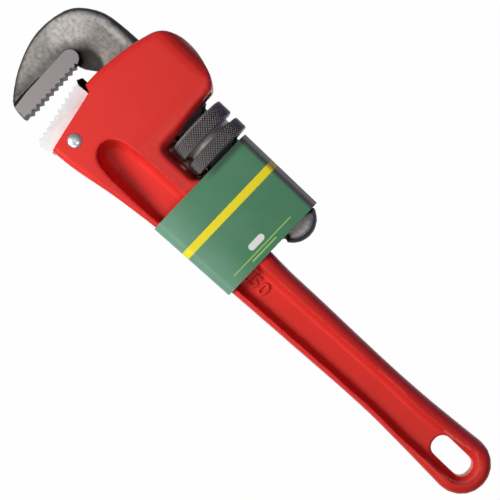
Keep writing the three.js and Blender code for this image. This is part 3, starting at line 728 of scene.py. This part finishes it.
STRIPE = (23.25, 26.45)
PATCH = (40.7, -16.2, 1.35, 2.5)  # middle along and across, half width, half length of the straight part
RULES = [(43.2, -31.5, -0.2, 0.45), (44.5, -22.5, -9.6, 0.6)]   # start along, ends across, width
BAND = 7.4                        # where the painted shade along the sleeve's back starts
PRINT_EDGE = 0.15                 # half of the width over which one printed colour gives way to the next
SLEEVE_HALF = (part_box("card_sleeve")[1].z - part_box("card_sleeve")[0].z) / 2 / MM
SLEEVE_TAPER = 1.35               # how much the handle's side of the sleeve climbs along it
SHANK_BACK = 9.3

NUMBER_PLACE = (44.6, -30.0, 3.7)      # its back is just under the face of the web


# ---------------------------------------------------------------- pieces


def front_fill():
    """The head's lower front, where the heel jaw sits, with its outer edges rounded."""
    front = add_box("front_fill", at(HEAD_FRONT, HEEL_FOOT, -HEAD_HALF), at(-38.7, -16.6, HEAD_HALF))
    outer = at(-45, -44)
    edit(front)
    select_where(front, "EDGE", lambda part: edge_middle(part).x < outer.x or edge_middle(part).y < outer.y)
    bevel(CAST_ROUND * MM, 4)
    bpy.ops.object.mode_set(mode="OBJECT")
    return front


def cradle_fill():
    """The floor of the pocket under the nut, thicker towards the head."""
    cradle = add_box("cradle_fill", at(*CRADLE_LOW), at(*CRADLE_HIGH))
    edit(cradle)
    select_where(cradle, "VERT", lambda part: part.co.z < at(*CRADLE_LOW).z + MM and part.co.x < NUT.x)
    bpy.ops.transform.translate(value=(0, 0, -CRADLE_DROP * MM))
    bpy.ops.object.mode_set(mode="OBJECT")
    return cradle


def fill_machined(casting):
    """Fills what is machined into the casting later, so that softening leaves its edges alone."""
    combine(casting, "UNION", front_fill())
    combine(casting, "UNION", add_box("slot_fill", at(-47, -43.6, -3.6), at(SLOT_BACK, SLOT_TOP, 3.6)))
    combine(casting, "UNION", add_rod("plug", 3.8, at(*PIN, -HEAD_HALF), at(*PIN, HEAD_HALF), 24))
    combine(casting, "UNION", cradle_fill())


def cut_machined(casting):
    """Cuts the heel jaw's seat, the slot for its tongue, the pin's hole and the room round the nut."""
    far = 20
    slot_end = at(SLOT_BACK, SLOT_TOP, SLOT_HALF)
    cut = add_turned_box("seat_cut", (-far, -2 * far, -far), (0, 0, far), HEEL_CORNER, HEEL_TURN)
    lip = add_turned_box("lip_cut", (-far, -far, 1 - far), (0, 0, far - 1), HEEL_CORNER, LIP_TURN)
    combine(cut, "UNION", lip)
    combine(cut, "UNION", add_box("slot_cut", at(-60, -60, -SLOT_HALF), slot_end))
    combine(cut, "UNION", add_rod("pin_cut", PIN_BORE, at(*PIN, 2 - far), at(*PIN, far - 2), 48))
    combine(casting, "DIFFERENCE", cut)
    room = room_round("nut_cut", NUT_ROOM)
    combine(room, "UNION", room_round("shank_cut", SHANK_ROOM))
    combine(casting, "DIFFERENCE", room)


def room_round(name, room):
    radius, front, rear = room
    return add_rod(name, radius, at(front, 0), at(rear, 0), 96)


def soften(piece, wanted, steps):
    """Rounds the part of a finely meshed piece whose points are wanted."""
    edit(piece)
    select_where(piece, "VERT", wanted)
    bpy.ops.object.vertex_group_assign_new()
    bpy.ops.object.mode_set(mode="OBJECT")
    modify(piece, "SMOOTH", factor=0.5, iterations=steps, vertex_group=piece.vertex_groups[-1].name)


def make_casting(sizes):
    """The body, softened all over as a sand casting under enamel is, with its machined places crisp."""
    casting = copy_of("wrench_body", "casting")
    fill_machined(casting)
    modify(casting, "REMESH", mode="VOXEL", voxel_size=sizes.cast_grain)
    modify(casting, "SMOOTH", factor=0.5, iterations=6)
    roughen(casting, sizes.cast_wave, 9 * MM)
    cut_machined(casting)
    smooth(casting, 35)
    return casting


def make_numbers(sizes):
    """A raised size number on the web, beside the sleeve."""
    height_share = 0.69           # height of a digit as a share of the text's size
    deselect()
    bpy.ops.object.text_add(location=at(*NUMBER_PLACE))
    text = bpy.context.view_layer.objects.active
    text.data.body = "250"
    text.data.size = sizes.number_height / height_share
    text.data.space_character = 1.14
    text.data.extrude = sizes.number_relief
    text.data.offset = 0.04 * MM
    text.data.bevel_depth = 0.24 * MM
    text.data.bevel_resolution = 2
    bpy.ops.object.convert(target="MESH")
    numbers = name_new("cast_numbers")
    modify(numbers, "REMESH", mode="VOXEL", voxel_size=0.1 * MM)
    modify(numbers, "SMOOTH", factor=0.5, iterations=8)
    smooth(numbers)
    return numbers


def pad_prism(inset=0.0):
    """The block that holds the ground pad and the teeth, with a round top."""
    low = at(HOOK_FACE - PAD_WIDTH + inset, -45, -12)
    high = at(HOOK_FACE + 1.2, PAD_TOP - inset, 12)
    prism = add_box("pad_prism", low, high)
    edit(prism)
    select_where(prism, "EDGE", lambda part: runs_along(part, 2) and edge_middle(part).y > high.y - MM)
    bevel((PAD_ROUND - inset) * MM, 14)
    bpy.ops.object.mode_set(mode="OBJECT")
    return prism


def make_hook(sizes):
    """The hook's forging without its ground pad, rounded everywhere but beside the pad and on the shank."""
    beside = 1.4
    pad = at(HOOK_FACE - PAD_WIDTH - beside, PAD_TOP + beside)
    shank = at(-46, 0)

    def off_pad(part):
        return part.co.x < pad.x or pad.y < part.co.y and part.co.x < shank.x

    hook = copy_of("hook_jaw", "hook_forging")
    combine(hook, "DIFFERENCE", pad_prism(0.6))
    modify(hook, "REMESH", mode="VOXEL", voxel_size=sizes.forge_grain)
    modify(hook, "SMOOTH", factor=0.5, iterations=5)
    soften(hook, off_pad, 80)
    roughen(hook, sizes.forge_scale, 1.6 * MM, 2)
    smooth(hook)
    return hook


def make_pad(sizes):
    """The ground pad with the hook's teeth, its edges just broken."""
    pad = copy_of("hook_jaw", "hook_ground_teeth")
    combine(pad, "INTERSECT", pad_prism())
    break_edges(pad, sizes.edge * 2)
    edit(pad)
    merge_near(10 * NEAR)
    bpy.ops.mesh.dissolve_degenerate(threshold=5 * NEAR)
    bpy.ops.object.mode_set(mode="OBJECT")
    smooth(pad, 30)
    return pad


def make_heel(sizes):
    """The heel jaw with its edges broken."""
    heel = copy_of("heel_jaw", "heel_jaw_teeth")
    break_edges(heel, sizes.edge)
    smooth(heel, 30)
    return heel


def make_pin():
    """The heel jaw's pin, its upper end peened to a low dome."""
    low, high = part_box("heel_jaw_pin")
    centre = (low + high) / 2
    rise = 1.0 * MM
    rings = 7
    deselect()
    bpy.ops.mesh.primitive_cylinder_add(
        vertices=48, radius=(high.x - low.x) / 2, depth=high.z - low.z - rise,
        location=(centre.x, centre.y, (low.z + high.z - rise) / 2),
    )
    pin = name_new("peened_pin")
    edit(pin)
    select_where(pin, "FACE", lambda part: part.normal.z > 0.9)
    angle, reach = 0.0, 1.0       # of the ring below: its place on the dome, and its share of the radius
    for ring in range(1, rings + 1):
        next_angle = math.pi / 2 * ring / rings
        next_reach = max(math.cos(next_angle), 0.02)
        climb = rise * (math.sin(next_angle) - math.sin(angle))
        shrink = next_reach / reach
        bpy.ops.mesh.extrude_region_move(TRANSFORM_OT_translate={"value": (0, 0, climb)})
        bpy.ops.transform.resize(value=(shrink, shrink, 1))
        angle, reach = next_angle, next_reach
    bpy.ops.object.mode_set(mode="OBJECT")
    smooth(pin, 50)
    return pin


def make_nut(sizes):
    """The adjusting nut: a knurled blank, cut to the working nut's rings, groove and threaded bore."""
    low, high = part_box("adjusting_nut")
    inside_form = 0.02 * MM
    radius = (high.z - low.z) / 2 - inside_form
    around = 2 * round(FULL_TURN * radius / sizes.knurl_pitch)
    length = high.x - low.x + 2 * MM
    rows = 2 * round(length / sizes.knurl_pitch)
    valley = radius - sizes.knurl_depth
    deselect()
    bpy.ops.mesh.primitive_cylinder_add(
        vertices=around, radius=valley, depth=length, end_fill_type="NOTHING",
        location=NUT, rotation=(0, math.pi / 2, 0),
    )
    blank = name_new("knurled_nut")
    edit(blank)
    select_where(blank, "EDGE", lambda part: runs_along(part, 0))
    bpy.ops.mesh.subdivide(number_cuts=rows - 1)
    bpy.ops.mesh.select_mode(type="FACE")
    bpy.ops.mesh.select_all(action="SELECT")
    bpy.ops.mesh.poke()

    def on_peak(part):
        """Whether a point is on one of every other crossing of the blank's grid."""
        turn = math.atan2(part.co.z - NUT.z, part.co.y - NUT.y) / FULL_TURN * around
        row = (part.co.x - NUT.x) / length * rows
        at_corner = abs(turn - round(turn)) < 0.1 and abs(row - round(row)) < 0.1
        return at_corner and (round(turn) + round(row)) % 2 == 0

    select_where(blank, "VERT", on_peak)
    grow = radius / valley
    bpy.ops.transform.resize(value=(1, grow, grow), center_override=NUT)
    close_outward()
    bpy.ops.object.mode_set(mode="OBJECT")
    combine(blank, "INTERSECT", copy_of("adjusting_nut", "nut_form"))
    smooth(blank, 24)
    return blank


def make_coil(sizes):
    """The coil spring between the housing and the spring plate, with its ends closed."""
    low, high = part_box("coil_spring")
    centre = (low + high) / 2
    turns = 4
    deselect()
    bpy.ops.mesh.primitive_circle_add(
        vertices=14, radius=sizes.wire / 2, fill_type="NGON",
        location=((high.x - low.x - sizes.wire) / 2, 0, 0), rotation=(math.pi / 2, 0, 0),
    )
    coil = name_new("wound_spring")
    modify(
        coil, "SCREW", axis="Z", screw_offset=(high.y - low.y - sizes.wire) / turns, iterations=turns,
        steps=40, render_steps=40, use_smooth_shade=True, use_merge_vertices=False,
    )
    edit(coil)
    close_outward()
    bpy.ops.object.mode_set(mode="OBJECT")
    coil.rotation_euler = (-math.pi / 2, 0, 0)
    coil.location = (centre.x, low.y + sizes.wire / 2, centre.z)
    settle(coil)
    return coil


def make_sleeve(sizes):
    """The card sleeve: a folded band with round bends towards the handle and creased ones at the shank."""
    low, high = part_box("card_sleeve")
    bend = 4.0 * MM
    crease = 3.4 * MM
    half = (high.z - low.z) / 2
    back_half = half - 5.8 * MM   # of the flat back, once the creases are drawn in
    close = 0.1 * MM

    def lengthwise(part):
        return runs_along(part, 0)

    band = add_box("folded_card", low, high)
    edit(band)
    select_where(band, "FACE", lambda part: abs(part.normal.x) > 0.9)
    bpy.ops.mesh.delete(type="FACE")
    select_where(band, "EDGE", lambda part: lengthwise(part) and edge_middle(part).y < low.y + MM)
    bevel(bend, 8)
    select_where(band, "EDGE", lambda part: lengthwise(part) and edge_middle(part).y > high.y - MM)
    bevel(crease, 2)
    select_where(band, "VERT", lambda part: high.y - 2.5 * MM < part.co.y < high.y - 0.5 * MM)
    bpy.ops.transform.translate(value=(0, -0.9 * MM, 0))
    select_where(band, "VERT", lambda part: part.co.y > high.y - close)
    bpy.ops.transform.resize(value=(1, 1, back_half / (half - crease)), center_override=NUT)
    select_where(band, "EDGE", lambda part: lengthwise(part) and edge_middle(part).y > high.y - bend)
    bevel(0.8 * MM, 3)
    taper_handle_side(band, low, high.x - close)
    bpy.ops.mesh.select_all(action="SELECT")
    bpy.ops.mesh.normals_make_consistent(inside=False)
    bpy.ops.object.mode_set(mode="OBJECT")
    modify(
        band, "SOLIDIFY", thickness=sizes.card, offset=-1.0, use_even_offset=True,
        material_offset=1, material_offset_rim=1,
    )
    smooth(band, 40)
    return band


def taper_handle_side(band, low, end):
    """In edit mode, draws the end of the band in towards the shank's back, to follow the handle."""
    back = at(0, SHANK_BACK)
    share = SLEEVE_TAPER * MM / (back.y - low.y)
    select_where(band, "VERT", lambda part: part.co.x > end)
    bpy.ops.transform.resize(value=(1, 1 - share, 1), center_override=back)


# ---------------------------------------------------------------- stage

CAMERA_HEIGHT = 750               # above the middle of the tool's thickness
CAMERA_AIM = (41.0, -20.05)       # the point under the camera
CAMERA_TURN = 43.6                # degrees about Z
CAMERA_LENS = 140.3

LAMP_AIM = (20.0, -8.0)
# Each lamp: direction in degrees about Z, degrees above the floor, distance, width and height in
# metres, power in watts and colour.
LAMPS = {
    "key": (230, 43, 0.42, 0.16, 0.16, 1.4, (1.0, 0.99, 0.975)),
    "side": (288, 47, 0.48, 0.2, 0.2, 0.45, (1.0, 0.99, 0.975)),
    "above": (182, 82, 1.1, 0.26, 0.26, 0.5, (1.0, 0.98, 0.97)),
    "end": (2, 71, 8.0, 0.5, 0.9, 48.0, (1.0, 0.98, 0.96)),
    "violet": (66, 12, 0.8, 0.6, 0.16, 0.8, (0.14, 0.04, 1.0)),
}


def make_camera():
    """A long lens straight above the tool, which lies on one side."""
    data = bpy.data.cameras.new("camera")
    data.lens = CAMERA_LENS
    data.sensor_width = 36
    data.clip_start = 0.01
    camera = add_to_scene("camera", data)
    camera.location = at(*CAMERA_AIM, CAMERA_HEIGHT)
    camera.rotation_euler = (0, 0, math.radians(CAMERA_TURN))
    bpy.context.scene.camera = camera


def direction_to(turn, climb):
    """The direction at these degrees about Z and above the floor."""
    level = math.cos(math.radians(climb))
    turned = math.radians(turn)
    return Vector((level * math.cos(turned), level * math.sin(turned), math.sin(math.radians(climb))))


def make_lamps():
    """Flat lamps that all face one point of the tool."""
    centre = at(*LAMP_AIM)
    for name, (turn, climb, distance, width, height, power, tint) in LAMPS.items():
        data = bpy.data.lights.new(name, "AREA")
        data.shape = "RECTANGLE"
        data.size = width
        data.size_y = height
        data.energy = power
        data.color = tint
        direction = direction_to(turn, climb)
        lamp = add_to_scene(name, data)
        lamp.location = centre + direction * distance
        lamp.rotation_mode = "QUATERNION"
        lamp.rotation_quaternion = (-direction).to_track_quat("-Z", "Y")


def floor_material():
    """White to the eye and in reflections, but for a trace of shadow, and a dim surface to other light."""
    finish = Finish("white_floor")
    path = finish.node("ShaderNodeLightPath", output="Is Camera Ray")
    outputs = path.socket.node.outputs
    seen = path | Value(finish, outputs["Is Glossy Ray"]) | Value(finish, outputs["Is Transmission Ray"])
    plain = finish.node("ShaderNodeBsdfDiffuse", None, {"Color": (0.25, 0.25, 0.25, 1.0)})
    white = finish.node("ShaderNodeEmission", None, {"Color": WHITE, "Strength": 1.0})
    return finish.with_shader(finish.node("ShaderNodeMixShader", None, {0: seen * 0.99, 1: plain, 2: white}))


def make_floor():
    deselect()
    bpy.ops.mesh.primitive_plane_add(size=6, location=(0, 0, -0.05 * MM))
    floor = name_new("floor")
    floor.data.materials.append(floor_material())
    deselect()


def make_world():
    """Dim, faintly blue light from all round."""
    world = bpy.data.worlds.new("studio")
    world.use_nodes = True
    background = world.node_tree.nodes["Background"]
    background.inputs["Color"].default_value = (0.9, 0.92, 1.0, 1.0)
    background.inputs["Strength"].default_value = 0.025
    bpy.context.scene.world = world


# ---------------------------------------------------------------- operators

FINISHES = {}


def chosen(context):
    """The sizes and colours that are set in the panel."""
    return context.scene.wrench_sizes, context.scene.wrench_colours


def finish_of(maker, colours):
    """The material of a maker, which is made once."""
    if maker.__name__ not in FINISHES:
        FINISHES[maker.__name__] = maker(colours)
    return FINISHES[maker.__name__]


class WRENCH_OT_stage(bpy.types.Operator):
    """Add the camera, the lamps, the floor and the dim studio round them"""

    bl_idname = "wrench.stage"
    bl_label = "Stage"

    def execute(self, context):
        make_camera()
        make_lamps()
        make_floor()
        make_world()
        context.scene.view_settings.view_transform = "Standard"
        return {"FINISHED"}


class WRENCH_OT_casting(bpy.types.Operator):
    """Add the enamelled casting and its raised size number"""

    bl_idname = "wrench.casting"
    bl_label = "Casting"

    def execute(self, context):
        sizes, colours = chosen(context)
        red = finish_of(enamel, colours)
        finish_piece(make_casting(sizes), "root", "red_enamel", [red], "wrench_body")
        finish_piece(make_numbers(sizes), "root", "red_enamel", [red])
        return {"FINISHED"}


class WRENCH_OT_hook(bpy.types.Operator):
    """Add the hook jaw: its forging, and the ground face with the teeth"""

    bl_idname = "wrench.hook"
    bl_label = "Hook jaw"

    def execute(self, context):
        sizes, colours = chosen(context)
        forged, ground = [finish_of(forging, colours)], [finish_of(ground_face, colours)]
        finish_piece(make_hook(sizes), "hook", "forged_steel", forged, "hook_jaw")
        finish_piece(make_pad(sizes), "hook", "ground_steel", ground)
        return {"FINISHED"}


class WRENCH_OT_heel(bpy.types.Operator):
    """Add the heel jaw and the pin that holds it"""

    bl_idname = "wrench.heel"
    bl_label = "Heel jaw"

    def execute(self, context):
        sizes, colours = chosen(context)
        ground, bright = [finish_of(heel_steel, colours)], [finish_of(bright_steel, colours)]
        finish_piece(make_heel(sizes), "root", "ground_steel", ground, "heel_jaw")
        finish_piece(make_pin(), "root", "bright_steel", bright, "heel_jaw_pin")
        return {"FINISHED"}


class WRENCH_OT_nut(bpy.types.Operator):
    """Add the knurled adjusting nut"""

    bl_idname = "wrench.nut"
    bl_label = "Adjusting nut"

    def execute(self, context):
        sizes, colours = chosen(context)
        black = [finish_of(oxide, colours)]
        finish_piece(make_nut(sizes), "nut", "blackened_steel", black, "adjusting_nut")
        return {"FINISHED"}


class WRENCH_OT_springs(bpy.types.Operator):
    """Add the coil spring, and finish the spring plate and its rivet"""

    bl_idname = "wrench.springs"
    bl_label = "Springs"

    def execute(self, context):
        sizes, colours = chosen(context)
        blued, bright = finish_of(spring_steel, colours), finish_of(bright_steel, colours)
        coil = make_coil(sizes)
        finish_piece(coil, "root", "spring_steel", [blued], "coil_spring")
        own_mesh(coil)
        refinish(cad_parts["flat_spring"], blued)
        refinish(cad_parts["spring_rivet"], bright)
        return {"FINISHED"}


class WRENCH_OT_sleeve(bpy.types.Operator):
    """Add the printed card sleeve"""

    bl_idname = "wrench.sleeve"
    bl_label = "Card sleeve"

    def execute(self, context):
        sizes, colours = chosen(context)
        card = [finish_of(printed_card, colours), finish_of(bare_board, colours)]
        finish_piece(make_sleeve(sizes), "sleeve", "green_card", card, "card_sleeve")
        return {"FINISHED"}


class WRENCH_PT_panel(bpy.types.Panel):
    """The wrench's pieces, with the sizes and colours of their finish"""

    bl_idname = "WRENCH_PT_panel"
    bl_label = "Pipe Wrench"
    bl_space_type = "VIEW_3D"
    bl_region_type = "UI"
    bl_category = "Wrench"

    def draw(self, context):
        layout = self.layout
        for group in (context.scene.wrench_sizes, context.scene.wrench_colours):
            column = layout.column(align=True)
            for name in group.__annotations__:
                column.prop(group, name)
        for operator in OPERATORS:
            layout.operator(operator.bl_idname)


OPERATORS = [
    WRENCH_OT_stage, WRENCH_OT_casting, WRENCH_OT_hook, WRENCH_OT_heel,
    WRENCH_OT_nut, WRENCH_OT_springs, WRENCH_OT_sleeve,
]
CLASSES = [WrenchSizes, WrenchColours, *OPERATORS, WRENCH_PT_panel]


def register():
    for each in CLASSES:
        bpy.utils.register_class(each)
    bpy.types.Scene.wrench_sizes = bpy.props.PointerProperty(type=WrenchSizes)
    bpy.types.Scene.wrench_colours = bpy.props.PointerProperty(type=WrenchColours)


def unregister():
    del bpy.types.Scene.wrench_sizes
    del bpy.types.Scene.wrench_colours
    for each in reversed(CLASSES):
        bpy.utils.unregister_class(each)


def main():
    register()
    bpy.ops.wrench.stage()
    bpy.ops.wrench.casting()
    bpy.ops.wrench.hook()
    bpy.ops.wrench.heel()
    bpy.ops.wrench.nut()
    bpy.ops.wrench.springs()
    bpy.ops.wrench.sleeve()


if __name__ == "__main__":
    main()
